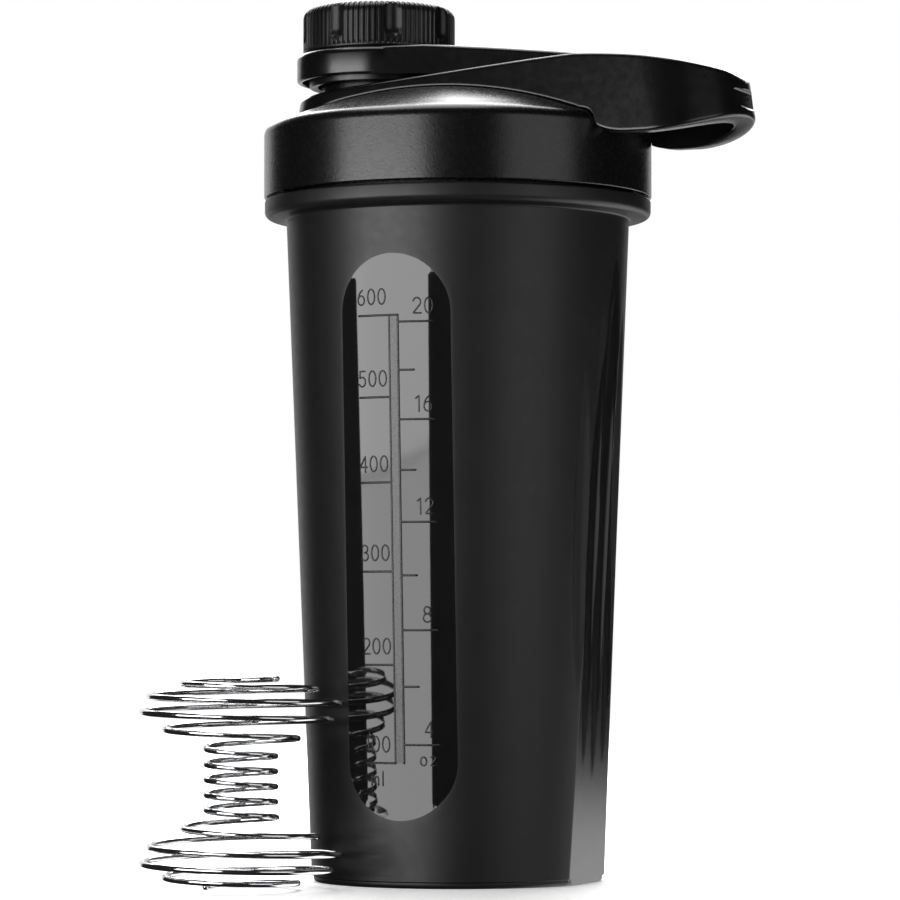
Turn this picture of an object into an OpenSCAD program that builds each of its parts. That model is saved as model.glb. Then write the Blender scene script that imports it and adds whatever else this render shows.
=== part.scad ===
// Protein shaker bottle with a screw lid, a carry loop, a tethered spout cap and a loose wire whisk.
// Frame: origin at the centre of the base, +Z up, the carry loop points to +X, the spout lies
// towards -X, the scale window faces -Y and the two finger grips face +X and -X.

/* [Cup] */
// Height of the cup from the surface it stands on to its rim
cup_h = 185.2; // [150:0.1:230]
// Outer radius of the cup wall, carried down to the base
cup_r = 36.45; // [30:0.05:44]
// Growth of the radius for each millimetre of height
cup_draft = 0.04; // [0.02:0.005:0.06]
// Thickness of the cup wall
cup_wall = 2; // [1.6:0.1:2.6]
// Thickness of the cup floor
floor_t = 3.4; // [2:0.1:5]
// Height of the foot ring under the floor
foot_h = 1.4; // [0.8:0.1:3]

/* [Window] */
// Width of the polished scale window
window_w = 29; // [20:0.5:36]
// Height of the lower end of the window
window_z = 16.2; // [10:0.1:30]
// Distance from the upper end of the window to the flange
window_gap = 11.3; // [6:0.1:30]
// Depth of the polished window below the matt wall
window_depth = 0.15; // [0.1:0.05:0.4]

/* [Grips] */
// Depth of the flat at the base of the cup
grip_depth = 2.15; // [1:0.05:3]
// Wall left behind the flat
grip_wall = 2.8; // [2.6:0.1:4]
// Distance from the tip of the flat to the flange
grip_gap = 11; // [6:0.5:30]
// Length of the middle groove
groove_l = 119; // [80:1:124]
// Depth of the middle groove
groove_d = 1.5; // [0.8:0.05:1.6]
// Width of the middle groove
groove_w = 7; // [5:0.1:8]
// Distance between neighbouring grooves, round the cup
groove_pitch = 6.33; // [5.8:0.01:6.8]

/* [Lid] */
// Height of the collar from its lower edge to its shoulder
collar_h = 18.5; // [16:0.1:24]
// Wall of the collar outside its thread
collar_wall = 3.15; // [2.4:0.05:4]
// Radius of the shoulder edge
shoulder_r = 3; // [1:0.1:4]
// Rise of the dome above the shoulder
dome_rise = 9.3; // [7:0.1:12]
// Thickness of the dome
dome_t = 2.2; // [1.6:0.1:3]
// Pitch of the lid thread
lid_pitch = 6; // [5:0.25:7]
// Height of the lid thread's ridge
lid_ridge = 1.4; // [1:0.1:1.6]

/* [Spout] */
// Distance from the bottle axis to the spout axis
spout_offset = 21.6; // [19:0.1:23]
// Radius of the spout's base
boss_r = 14.5; // [13.5:0.1:15]
// Height of the spout's mouth above the dome
spout_h = 13.3; // [12:0.1:15]
// Radius of the drinking hole
spout_bore_r = 10.4; // [8:0.1:11]
// Wall of the spout
spout_wall = 2.2; // [1.8:0.1:2.6]
// Pitch of the spout thread
spout_pitch = 3.2; // [2.5:0.1:4]

/* [Spout cap] */
// Outer radius of the ribbed cap
cap_r = 19.25; // [18.5:0.05:22]
// Height of the ribbed part of the cap
cap_h = 11.5; // [10:0.1:14]
// Radius of the cap's top edge
cap_edge = 2.6; // [1:0.1:3]
// Number of ribs round the cap
rib_count = 84; // [48:4:96]
// Depth of the ribs
rib_d = 0.5; // [0.3:0.05:0.8]
// Number of thumb recesses round the cap
recess_count = 8; // [4:1:10]
// Width of each thumb recess
recess_w = 4.8; // [3:0.1:6]

/* [Cap arm] */
// Radial width of the ring that holds the cap
ring_w = 2.9; // [2.6:0.1:4]
// Height of the ring
ring_h = 7.1; // [6:0.1:8]
// Thickness of the arm's skin
arm_t = 2.2; // [1.6:0.1:2.6]
// Radius of the hinge barrel
barrel_r = 3.2; // [3:0.1:4]
// Radius of the hinge pin
pin_r = 1.6; // [1.2:0.1:1.8]

/* [Carry loop] */
// Distance from the bottle axis to the tip of the loop
loop_reach = 77.3; // [70:0.1:90]
// Thickness of the loop's rails
rail_t = 3.8; // [3:0.1:5]
// Thickness of the loop at its tip
tip_t = 5; // [4.5:0.1:8]
// Width of the slot in the tip
slot_w = 19; // [10:0.5:22]
// Height of the slot in the tip
slot_h = 4.2; // [2:0.1:5]

/* [Whisk] */
// Diameter of the wire
wire_d = 1.5; // [1:0.1:2]
// Overall height of the whisk
whisk_h = 51.5; // [40:0.5:60]
// Radius of the two cages, to the middle of the wire
cage_r = 24; // [18:0.5:26]
// Radius of the waist, to the middle of the wire
waist_r = 8.4; // [6:0.1:10]

/* [Hidden] */

$fn = 96;
eps = 0.01;
// Clearances
lid_gap = 0.5;          // lid wall to the crest of the cup's thread
gasket_gap = 0.05;      // gasket to what is above, below and beside it
seat_gap = 0.05;        // carry loop to the lid under it
rail_gap = 0.4;         // arm to the rails on each side
pin_seat_gap = 0.03;    // hinge pin to the rails
pin_turn_gap = 0.06;    // hinge pin to the barrel
cap_gap = 0.3;          // cap skirt to the ring
face_gap = 0.2;         // cap to the top of the ring

// Cup
flange_h = 5;
flange_edge = 1.6;
collar_lift = 0.6;                                  // gap between the flange and the collar
gasket_h = 1.6;
foot_step = 0.4;
neck_step = 0.6;                                    // neck beyond the wall under the flange
foot_rim = 6;
rim_edge = 0.5;
floor_z = foot_h + floor_t;
ceiling_z = cup_h + gasket_h + 2 * gasket_gap;      // inner face of the lid above the gasket
shoulder_z = ceiling_z + 2.4;
collar_z = shoulder_z - collar_h;
flange_top = collar_z - collar_lift;
flange_z = flange_top - flange_h;
neck_r = wall_r(flange_z) + neck_step;
ridge_r = neck_r + lid_ridge;                       // crest of the cup's thread
collar_in = ridge_r + lid_gap;
lid_r = collar_in + collar_wall;
flange_r = lid_r - 0.2;
function wall_r(z) = cup_r + cup_draft * z;
function cavity_r(z) = wall_r(z) - cup_wall;

// Window
window_top = flange_z - window_gap;

// Grips: each flat is a plane that meets the wall at its tip and lies grip_depth below it at the base
grip_top = flange_z - grip_gap;
grip_x = cup_r - grip_depth;
grip_slope = (wall_r(grip_top) - grip_x) / grip_top;
grip_in_x = grip_x - grip_wall;
grip_in_slope = (cavity_r(grip_top) - grip_in_x) / grip_top;
groove_side = 2;                                    // grooves on each side of the middle one
groove_fall = 2.6;                                  // how fast the grooves shorten to the sides
groove_z = grip_top * 0.5625;
groove_step = groove_pitch / (grip_x + grip_slope * groove_z) * 180 / PI;
groove_shoal = 0.07;                                // how fast the grooves get shallow to the sides
groove_tube = (groove_w * groove_w / 4 + groove_d * groove_d) / (2 * groove_d);
function groove_len(i) = groove_l * sqrt(1 - pow(i / groove_fall, 2));
function groove_depth(i) = groove_d * (1 - groove_shoal * i * i);
function groove_arc(i) = pow(groove_len(i), 2) / (8 * groove_depth(i));    // radius along its length
function grip_r(a, z) = min(wall_r(z), (grip_x + grip_slope * z) / cos(a));

// Threads
thread_steps = 40;      // segments in one turn
thread_sink = 0.4;      // how far a ridge reaches into its wall
thread_fade = 4;        // segments over which a ridge's end fades
lid_turns = 1.25;
ridge_foot = 3;         // axial width of the lid thread's ridge at its foot
ridge_crest = 1.2;      // and at its crest

// Dome: part of a ball
dome_r = lid_r - shoulder_r;                        // where the dome meets the shoulder
dome_top = shoulder_z + dome_rise;
dome_ball = (dome_r * dome_r + dome_rise * dome_rise) / (2 * dome_rise);
dome_a = asin(dome_r / dome_ball);
seal_in = cavity_r(cup_h) - 0.4;                    // inner radius of the gasket's seat
dome_steps = 14;
function dome_z(r) = dome_top - dome_ball + sqrt(dome_ball * dome_ball - r * r);

// Spout
spout_x = -spout_offset;
boss_top = dome_top + 3.3;
spout_r = spout_bore_r + spout_wall;
spout_top = dome_top + spout_h;
spout_ridge = 1.1;
spout_turns = 1.5;
spout_thread_z = boss_top + 2;

// Cap arm and its ring
ring_z = dome_top + 2.5;
ring_top = ring_z + ring_h;
skirt_r = cap_r - 1.65;
ring_in = skirt_r + cap_gap;
ring_r = ring_in + ring_w;
ring_skin = 1.4;
arm_half = ring_r - rail_t - rail_gap;              // half the width of the arm between the rails
hinge_x = lid_r - 5.75;
hinge_z = dome_top + 1.6;

// Spout cap
cap_z = ring_top + face_gap;
cap_top = cap_z + cap_h;
skirt_z = ring_z - 1.3;
cap_root = skirt_r - 2;                             // inner wall of the cap
cap_crest = cap_root - 1;                           // crest of the thread inside the cap
bead_r = ring_in + 0.6;
cap_ceiling = cap_top - 2.7;
recess_d = 1.1;
recess_foot = cap_z + 2.1;

// Cap seal
seal_t = 1.5;
seal_land = spout_r + 0.8;
plug_r = spout_bore_r - 0.9;
plug_z = spout_top - 2.4;

// Carry loop: its outline follows the ring, then the rails, and closes as half an ellipse
loop_half = ring_r;
loop_bend = loop_reach - 21;                        // where the rails start to close
plate_z = dome_top - 2.6;                           // top of the plate round the spout
crest_x = hinge_x - 3;
crest_z = dome_top + 4.7;                           // highest point of the rails
fall_x = loop_reach - 3.6;
fall_z = dome_top + 0.4;
loop_in_bend = loop_bend - 6;                       // and where the opening starts to close
root_low = collar_z + 12.4;                         // underside of the rails beside the lid
tip_low = root_low + 5.4;
slot_z = tip_low + 1.8;
slot_d = 1.9;

// Whisk
whisk_gap = 2.15;                                   // between the cup's wall and the whisk
whisk_side = -121.7236;                             // direction of the whisk from the cup
whisk_away = wall_r(whisk_h) + cage_r + whisk_gap;
whisk_x = whisk_away * cos(whisk_side);
whisk_y = whisk_away * sin(whisk_side);
whisk_start = 202;                                  // angle of the wire's lower end
cage_turns = 4.5;
waist_turns = 4.5;
wire_steps = 20;                                    // segments in one turn
wire_sides = 8;
cage_share = 0.335;                                 // share of the height that each cage takes
coil_crowd = 1.3;                                   // how much closer the coils lie at the ends

cup_col = [0.16, 0.16, 0.17];
lid_col = [0.1, 0.1, 0.11];
seal_col = [0.75, 0.75, 0.73];
steel_col = [0.8, 0.8, 0.82];

// Points of an arc about c, from angle a0 to a1
function arc(c, r, a0, a1, n = 8) =
    [for (i = [0 : n]) let (a = a0 + (a1 - a0) * i / n) [c.x + r * cos(a), c.y + r * sin(a)]];

// Points of a curve from a to c that leaves and arrives towards b
function bend(a, b, c, n = 8) =
    [for (i = [0 : n]) let (t = i / n) (1 - t) * (1 - t) * a + 2 * t * (1 - t) * b + t * t * c];

// Points of half an ellipse about x = c, from y = -half to y = half
function half_ellipse(c, reach, half, n = 20) =
    [for (i = [0 : n]) let (a = -90 + 180 * i / n) [c + reach * cos(a), half * sin(a)]];

// Two triangles for each side of a swept ring of m points, and the two ends
function sweep_faces(rings, m, flip = false) =
    let (sides = [for (i = [0 : rings - 2], j = [0 : m - 1])
            let (a = i * m + j, b = i * m + (j + 1) % m)
            each [[a, b, b + m], [a, b + m, a + m]]],
         ends = [for (j = [1 : m - 2])
            each [[0, j + 1, j], [(rings - 1) * m, (rings - 1) * m + j, (rings - 1) * m + j + 1]]],
         all = concat(sides, ends))
    flip ? [for (f = all) [f[2], f[1], f[0]]] : all;

// A helical ridge on a wall of radius r; height is negative on an inner wall
module ridge(r, height, pitch, turns, z, foot_w, crest_w, start = 0) {
    steps = round(turns * thread_steps);
    out = sign(height);
    points = [for (i = [0 : steps])
        let (a = start + i * 360 / thread_steps,
             h = z + pitch * i / thread_steps,
             k = min(1, (i + 1) / thread_fade, (steps - i + 1) / thread_fade),
             foot = r - out * thread_sink,
             crest = r + height * k)
        for (p = [[foot, -foot_w / 2], [crest, -crest_w / 2], [crest, crest_w / 2], [foot, foot_w / 2]])
            [p.x * cos(a), p.x * sin(a), h + p.y]];
    polyhedron(points, sweep_faces(steps + 1, 4, out < 0));
}

// ---------- cup

// Outline of the cup's outside, with its foot, flange and neck
function cup_outline() = concat(
    [[0, 0]],
    arc([cup_r - foot_step - 1, 1], 1, -90, 0, 6),
    [[cup_r - foot_step, foot_h], [wall_r(foot_h + 0.3), foot_h + 0.3], [wall_r(flange_z), flange_z]],
    arc([flange_r - flange_edge, flange_z + 0.5 + flange_edge], flange_edge, -90, 0, 6),
    arc([flange_r - 0.6, flange_top - 0.6], 0.6, 0, 90, 4),
    [[neck_r, flange_top]],
    arc([neck_r - rim_edge, cup_h - rim_edge], rim_edge, 0, 90, 4),
    [[0, cup_h]]);

// Outline of the space inside the cup
function cavity_outline() = concat(
    [[0, floor_z]],
    arc([cavity_r(floor_z) - 3, floor_z + 3], 3, -90, 0, 6),
    [[cavity_r(cup_h + 1), cup_h + 1], [0, cup_h + 1]]);

// Everything outside a plane that starts at x and leans out by slope, up to the tip of the flat
module outside_flat(x, slope) {
    for (side = [0, 180])
        rotate(side)
            translate([x, 0, 0])
                rotate([0, atan(slope), 0])
                    translate([0, -cup_r, -10])
                        cube([20, 2 * cup_r, grip_top + 14]);
}

// One lens-shaped groove of a grip
module groove(i) {
    a = i * groove_step;
    big = groove_arc(i);
    lean = atan((grip_r(a, groove_z + 30) - grip_r(a, groove_z - 30)) / 60);
    half_a = asin(groove_len(i) / 2 / big) + 0.4;
    rotate(a)
        translate([grip_r(a, groove_z) - groove_depth(i), 0, groove_z])
            rotate([0, lean, 0])
                translate([big, 0, 0])
                    rotate([90, 0, 0])
                        rotate([0, 0, 180 - half_a])
                            rotate_extrude(angle = 2 * half_a, $fn = 3000)
                                translate([big - groove_tube, 0])
                                    circle(groove_tube, $fn = 48);
}

// Outline of the window, seen from the front
module window_shape() {
    r = window_w / 2;
    polygon(concat(arc([0, window_top - r], r, 0, 180, 20), arc([0, window_z + r], r, 180, 360, 20)));
}

// The thin layer that the window takes off the wall
module window_layer() {
    difference() {
        rotate([90, 0, 0])
            linear_extrude(cup_r * 2)
                window_shape();
        rotate_extrude()
            polygon([[0, 0], [wall_r(0) - window_depth, 0],
                     [wall_r(flange_z) - window_depth, flange_z], [0, flange_z]]);
    }
}

module cup() {
    color(cup_col)
    difference() {
        union() {
            difference() {
                rotate_extrude() polygon(cup_outline());
                outside_flat(grip_x, grip_slope);
                for (side = [0, 180], i = [-groove_side : groove_side])
                    rotate(side) groove(i);
                window_layer();
                translate([0, 0, -1])
                    cylinder(h = foot_h + 1, r = cup_r - foot_rim);
            }
            ridge(neck_r, lid_ridge, lid_pitch, lid_turns, flange_top + 3.6, ridge_foot, ridge_crest);
        }
        difference() {
            rotate_extrude() polygon(cavity_outline());
            outside_flat(grip_in_x, grip_in_slope);
        }
    }
}

// ---------- lid

// Outline of the lid's shoulder and dome, grown by gap
function dome_outline(gap = 0) = concat(
    arc([lid_r - shoulder_r, shoulder_z - shoulder_r], shoulder_r + gap, 0, 90 - dome_a, 6),
    [for (i = [1 : dome_steps]) let (a = dome_a * (1 - i / dome_steps))
        [(dome_ball + gap) * sin(a), dome_top - dome_ball + (dome_ball + gap) * cos(a)]]);

// Outline of the space inside the lid
function lid_space() = concat(
    [[0, collar_z - 1], [collar_in, collar_z - 1], [collar_in, ceiling_z], [seal_in, ceiling_z]],
    [for (i = [0 : dome_steps]) let (r = (seal_in - 1) * (1 - i / dome_steps))
        [r, dome_z(r) - dome_t]]);

module lid() {
    color(lid_col)
    difference() {
        union() {
            difference() {
                union() {
                    rotate_extrude()
                        polygon(concat([[0, collar_z], [lid_r - 0.4, collar_z], [lid_r, collar_z + 0.4]],
                                       dome_outline()));
                    translate([spout_x, 0, ceiling_z])
                        cylinder(h = boss_top - ceiling_z, r = boss_r);
                    translate([spout_x, 0, ceiling_z])
                        cylinder(h = spout_top - ceiling_z, r = spout_r);
                }
                rotate_extrude() polygon(lid_space());
            }
            translate([spout_x, 0, 0])
                ridge(spout_r, spout_ridge, spout_pitch, spout_turns, spout_thread_z, 1.8, 0.6);
            rotate(180)
                ridge(collar_in, -lid_ridge, lid_pitch, lid_turns, flange_top + 3.6,
                      ridge_foot, ridge_crest);
        }
        translate([spout_x, 0, ceiling_z - 1])
            cylinder(h = spout_h + 20, r = spout_bore_r);
    }
}

module lid_gasket() {
    color(seal_col)
        translate([0, 0, cup_h + gasket_gap])
            rotate_extrude()
                translate([seal_in + 0.15, 0])
                    square([collar_in - seal_in - 0.3, gasket_h]);
}

// ---------- carry loop

// Outline of the loop from above
module loop_plan() {
    polygon(concat(half_ellipse(loop_bend, loop_reach - loop_bend, loop_half),
                   arc([spout_x, 0], ring_r, 90, 270, 24)));
}

// Outline of the opening between the rails from above
module loop_opening() {
    half = loop_half - rail_t;
    back = spout_x + 8;
    polygon(concat(half_ellipse(loop_in_bend, loop_reach - loop_in_bend - tip_t, half),
                   arc([back + 5, half - 5], 5, 90, 180, 5),
                   arc([back + 5, 5 - half], 5, 180, 270, 5)));
}

// Outline of the loop from the side
module loop_side() {
    polygon(concat(
        [[spout_x - ring_r - 1, collar_z + 10]],
        bend([spout_x - ring_r - 1, plate_z], [crest_x - 20, crest_z - 1], [crest_x, crest_z], 14),
        bend([crest_x, crest_z], [crest_x + 18, crest_z - 0.6], [fall_x, fall_z], 8),
        bend([fall_x, fall_z], [loop_reach + 1, fall_z - 1], [loop_reach + 1, fall_z - 6], 5),
        bend([loop_reach + 1, tip_low], [loop_reach - 10, root_low + 0.6], [lid_r + 8, root_low], 8),
        bend([lid_r + 2.5, root_low], [lid_r - 2.5, root_low + 0.2], [lid_r - 5, root_low + 2.2], 6),
        [[lid_r - 12, root_low + 2.2]]));
}

module carry_handle() {
    color(lid_col)
    difference() {
        intersection() {
            translate([0, 0, collar_z])
                linear_extrude(60)
                    loop_plan();
            translate([0, loop_half + 1, 0])
                rotate([90, 0, 0])
                    linear_extrude(2 * loop_half + 2)
                        loop_side();
        }
        translate([0, 0, collar_z - 1])
            linear_extrude(62)
                loop_opening();
        rotate_extrude()
            polygon(concat([[0, collar_z - 1], [lid_r + seat_gap, collar_z - 1]], dome_outline(seat_gap)));
        translate([spout_x, 0, collar_z])
            cylinder(h = 60, r = boss_r + seat_gap);
        translate([hinge_x, arm_half + rail_gap + 2.2, hinge_z])
            rotate([90, 0, 0])
                cylinder(h = 2 * (arm_half + rail_gap + 2.2), r = pin_r + pin_seat_gap);
        translate([loop_reach - slot_d, -slot_w / 2, slot_z])
            cube([slot_d + 1, slot_w, slot_h]);
    }
}

module hinge_pin() {
    color(steel_col)
        translate([hinge_x, arm_half + rail_gap + 2, hinge_z])
            rotate([90, 0, 0])
                cylinder(h = 2 * (arm_half + rail_gap + 2), r = pin_r);
}

// ---------- cap arm

// Outline of the arm from above, between the ring and the hinge
module arm_plan(inset = 0) {
    neck_x = spout_x + ring_r + 6;
    polygon([[spout_x, inset - ring_r], [neck_x, inset - arm_half], [hinge_x, inset - arm_half],
             [hinge_x, arm_half - inset], [neck_x, arm_half - inset], [spout_x, ring_r - inset]]);
}

// Outline of the arm from the side, with its top lowered by drop
module arm_side(drop = 0) {
    low = drop > 0 ? ring_z - 20 : ring_z;
    polygon(concat(
        [[spout_x, low], [spout_x, ring_top - drop], [spout_x + ring_r - 6, ring_top - drop]],
        bend([spout_x + ring_r - 2, ring_top - drop], [hinge_x - 30, ring_top - 1 - drop],
             [hinge_x, hinge_z + barrel_r - drop], 8),
        [[hinge_x, drop > 0 ? low : hinge_z - barrel_r + 0.6],
         [hinge_x - 14, drop > 0 ? low : ring_z - 1.2]]));
}

module arm_block(inset = 0, drop = 0) {
    intersection() {
        translate([0, 0, ring_z - 10])
            linear_extrude(40)
                arm_plan(inset);
        translate([0, ring_r + 1, 0])
            rotate([90, 0, 0])
                linear_extrude(2 * ring_r + 2)
                    arm_side(drop);
    }
}

// The ring's cross-section: a rounded wall with a skin over it
function ring_outline() = concat(
    [[ring_in, ring_top - arm_t], [ring_r - ring_skin, ring_top - arm_t], [ring_r - ring_skin, ring_z]],
    arc([ring_r - 0.7, ring_z + 0.7], 0.7, -90, 0, 4),
    arc([ring_r - 1.8, ring_top - 1.8], 1.8, 0, 90, 6),
    [[ring_in, ring_top]]);

module cap_arm() {
    color(lid_col)
    difference() {
        union() {
            difference() {
                arm_block();
                difference() {
                    arm_block(rail_t / 2, arm_t);
                    translate([hinge_x - barrel_r - 2, -ring_r, ring_z - 20])
                        cube([20, 2 * ring_r, 60]);
                }
                translate([spout_x, 0, ring_z - 20])
                    cylinder(h = 60, r = ring_r - ring_skin / 2);
            }
            translate([spout_x, 0, 0])
                rotate_extrude() polygon(ring_outline());
            translate([hinge_x, arm_half, hinge_z])
                rotate([90, 0, 0])
                    cylinder(h = 2 * arm_half, r = barrel_r);
        }
        translate([hinge_x, ring_r, hinge_z])
            rotate([90, 0, 0])
                cylinder(h = 2 * ring_r, r = pin_r + pin_turn_gap);
    }
}

// ---------- spout cap

// Outline of the ribbed cap from above
module rib_shape() {
    polygon([for (i = [0 : rib_count - 1], k = [0, 1])
        let (a = (i + k / 2) * 360 / rib_count, r = cap_r - k * rib_d)
        [r * cos(a), r * sin(a)]]);
}

// One thumb recess: a flat cut with a round foot
module recess() {
    translate([cap_r - recess_d, 0, 0])
        rotate([90, 0, 90])
            linear_extrude(3)
                polygon(concat(arc([0, recess_foot + recess_w / 2], recess_w / 2, 180, 360, 10),
                               [[recess_w / 2, cap_top + 1], [-recess_w / 2, cap_top + 1]]));
}

module spout_cap() {
    color(lid_col)
    translate([spout_x, 0, 0])
    union() {
        difference() {
            union() {
                difference() {
                    intersection() {
                        translate([0, 0, cap_z])
                            linear_extrude(cap_h)
                                rib_shape();
                        rotate_extrude()
                            polygon(concat([[0, cap_z], [cap_r + 0.01, cap_z]],
                                arc([cap_r + 0.01 - cap_edge, cap_top - cap_edge], cap_edge, 0, 90, 8),
                                [[0, cap_top]]));
                    }
                    for (i = [0 : recess_count - 1])
                        rotate(360 / recess_count * i + 33.7 - 90)
                            recess();
                }
                translate([0, 0, skirt_z])
                    cylinder(h = cap_z + 1 - skirt_z, r = skirt_r);
                translate([0, 0, ring_top - arm_t - 1.5])
                    cylinder(h = 1.2, r = bead_r);
            }
            translate([0, 0, skirt_z - 1])
                cylinder(h = cap_ceiling - skirt_z + 1, r = cap_root);
        }
        ridge(cap_root, cap_crest - cap_root, spout_pitch, spout_turns, spout_thread_z, 1.8, 0.6);
    }
}

module cap_seal() {
    color(seal_col)
    translate([spout_x, 0, 0])
    difference() {
        union() {
            translate([0, 0, cap_ceiling - seal_t])
                cylinder(h = seal_t, r = cap_crest);
            translate([0, 0, spout_top + 0.1])
                cylinder(h = cap_ceiling - spout_top - 0.2, r = seal_land);
            translate([0, 0, plug_z])
                cylinder(h = 4, r1 = plug_r - 0.2, r2 = plug_r);
        }
        translate([0, 0, plug_z - 1])
            cylinder(h = cap_ceiling - seal_t - plug_z, r = plug_r - 2);
    }
}

// ---------- whisk

// Radius and height of the wire after u turns from its lower end
whisk_turns = 2 * cage_turns + waist_turns;
cage_h = (whisk_h - wire_d) * cage_share;
waist_h = whisk_h - wire_d - 2 * cage_h;
function coil_r(u) =
    let (s = min(u, whisk_turns - u) / cage_turns)
    s < 1 ? waist_r + (cage_r - waist_r) * sin(180 * s) : waist_r;
function coil_z(u) = wire_d / 2 + (
    u < cage_turns ? cage_h * pow(u / cage_turns, coil_crowd)
    : u > whisk_turns - cage_turns
        ? whisk_h - wire_d - cage_h * pow((whisk_turns - u) / cage_turns, coil_crowd)
    : cage_h + waist_h * (u - cage_turns) / waist_turns);
function wire_point(u) =
    let (a = whisk_start - 360 * u)
    [coil_r(u) * cos(a), coil_r(u) * sin(a), coil_z(u)];

function unit(v) = v / norm(v);

// Ring of points round the wire at turn u
function wire_ring(u) =
    let (p = wire_point(u), du = 0.01,
         t = unit(wire_point(min(u + du, whisk_turns)) - wire_point(max(u - du, 0))),
         n = unit(cross(t, [0, 0, 1])), b = cross(t, n))
    [for (j = [0 : wire_sides - 1]) let (q = 360 * j / wire_sides)
        p + wire_d / 2 * (cos(q) * n - sin(q) * b)];

module whisk() {
    rings = round(whisk_turns * wire_steps) + 1;
    color(steel_col)
        translate([whisk_x, whisk_y, 0])
            polyhedron([for (i = [0 : rings - 1]) each wire_ring(whisk_turns * i / (rings - 1))],
                       sweep_faces(rings, wire_sides));
}

cup();
lid();
lid_gasket();
carry_handle();
cap_arm();
hinge_pin();
spout_cap();
cap_seal();
whisk();
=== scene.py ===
"""Looks of the protein shaker bottle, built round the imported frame.

Lengths are in millimetres until a mesh is made, which takes them to metres. Angles are in degrees.
The bottle's axis is +Z, the scale window faces -Y, the carry loop points to +X and the two finger
grips face +X and -X. A profile is a list of (radius, height), and a grid is an array of points whose
rows run along a profile and whose columns go round.
"""

import math

import bmesh
import bpy
import numpy as np
from mathutils import Matrix, Vector


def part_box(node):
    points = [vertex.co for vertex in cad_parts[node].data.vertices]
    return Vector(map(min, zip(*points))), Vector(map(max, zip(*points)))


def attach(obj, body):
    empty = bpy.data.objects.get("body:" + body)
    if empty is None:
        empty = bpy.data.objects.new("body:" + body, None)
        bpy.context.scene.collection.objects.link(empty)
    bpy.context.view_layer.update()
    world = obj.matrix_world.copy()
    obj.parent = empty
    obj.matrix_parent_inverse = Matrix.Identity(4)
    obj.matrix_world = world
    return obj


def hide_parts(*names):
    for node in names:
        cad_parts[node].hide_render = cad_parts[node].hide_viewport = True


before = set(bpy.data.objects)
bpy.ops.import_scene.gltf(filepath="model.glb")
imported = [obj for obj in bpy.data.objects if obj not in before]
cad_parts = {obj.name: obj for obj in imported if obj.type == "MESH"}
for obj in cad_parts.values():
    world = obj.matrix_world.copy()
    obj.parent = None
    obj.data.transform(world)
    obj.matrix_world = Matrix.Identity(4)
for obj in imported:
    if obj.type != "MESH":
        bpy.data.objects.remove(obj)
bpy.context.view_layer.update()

MM = 0.001
FAR = 1000.0  # a radius beyond every part of the bottle


def box_mm(node):
    lo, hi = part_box(node)
    return lo / MM, hi / MM


# ---------- sizes: heights and outer radii come from the frame, the rest are named here

cup_hi = box_mm("cup")[1]
lid_lo, lid_hi = box_mm("lid")
gasket_lo, gasket_hi = box_mm("lid_gasket")
seal_lo, seal_hi = box_mm("cap_seal")
cap_lo, cap_hi = box_mm("spout_cap")
arm_hi = box_mm("cap_arm")[1]
pin_lo, pin_hi = box_mm("hinge_pin")
loop_hi = box_mm("carry_handle")[1]
whisk_hi = box_mm("whisk")[1]

# Cup
CUP_R = 36.45
DRAFT = 0.04
WALL = 2.0
FOOT_H = 1.4
FOOT_IN = CUP_R - 6
FLOOR_Z = 4.8
RIM_Z = cup_hi.z
COLLAR_Z = lid_lo.z
FLANGE_TOP = COLLAR_Z - 0.6
FLANGE_Z = FLANGE_TOP - 5
FLANGE_R = cup_hi.x
NECK_R = CUP_R + DRAFT * FLANGE_Z + 0.6

# Grips
GRIP_TOP = FLANGE_Z - 11
GRIP_X = CUP_R - 2.15
GRIP_SLOPE = (CUP_R + DRAFT * GRIP_TOP - GRIP_X) / GRIP_TOP
GRIP_WALL = 2.8
GROOVE_L = 119.0
GROOVE_D = 1.5
GROOVE_W = 7.0
GROOVE_PITCH = 6.33
GROOVE_SIDE = 2
GROOVE_FALL = 2.6
GROOVE_SHOAL = 0.07
GROOVE_Z = GRIP_TOP * 0.5625
GROOVE_STEP = math.degrees(GROOVE_PITCH / (GRIP_X + GRIP_SLOPE * GROOVE_Z))
GROOVE_TUBE = (GROOVE_W ** 2 / 4 + GROOVE_D ** 2) / (2 * GROOVE_D)
GROOVE_EDGE = 0.22

# Window
WINDOW_W = 29.0
WINDOW_Z = 16.2
WINDOW_TOP = FLANGE_Z - 11.3
WINDOW_DEPTH = 0.06
WINDOW_FACE = -90.0

# Threads: axial width of a ridge at its foot and its crest
LID_THREAD = dict(pitch=6.0, turns=1.25, foot=3.0, crest=1.2, start_z=FLANGE_TOP + 3.6)
LID_RIDGE = 1.4
SPOUT_RIDGE = 1.1
CAP_RIDGE = 1.0

# Lid
LID_R = lid_hi.x
COLLAR_IN = NECK_R + LID_RIDGE + 0.5
CEILING_Z = gasket_hi.z + 0.05
SHOULDER_Z = CEILING_Z + 2.4
SHOULDER_R = 3.0
DOME_R = LID_R - SHOULDER_R
DOME_RISE = 9.3
DOME_TOP = SHOULDER_Z + DOME_RISE
DOME_T = 2.2
DOME_BALL = (DOME_R ** 2 + DOME_RISE ** 2) / (2 * DOME_RISE)
DOME_A = math.degrees(math.asin(DOME_R / DOME_BALL))
SEAT_IN = CUP_R + DRAFT * RIM_Z - WALL - 0.4

# Spout
SPOUT_X = (cap_lo.x + cap_hi.x) / 2
SPOUT_TOP = lid_hi.z
BOSS_R = 14.5
BOSS_TOP = DOME_TOP + 3.3
BORE_R = 10.4
SPOUT_R = BORE_R + 2.2
SPOUT_THREAD = dict(pitch=3.2, turns=1.5, foot=1.8, crest=0.6, start_z=BOSS_TOP + 2)

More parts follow.
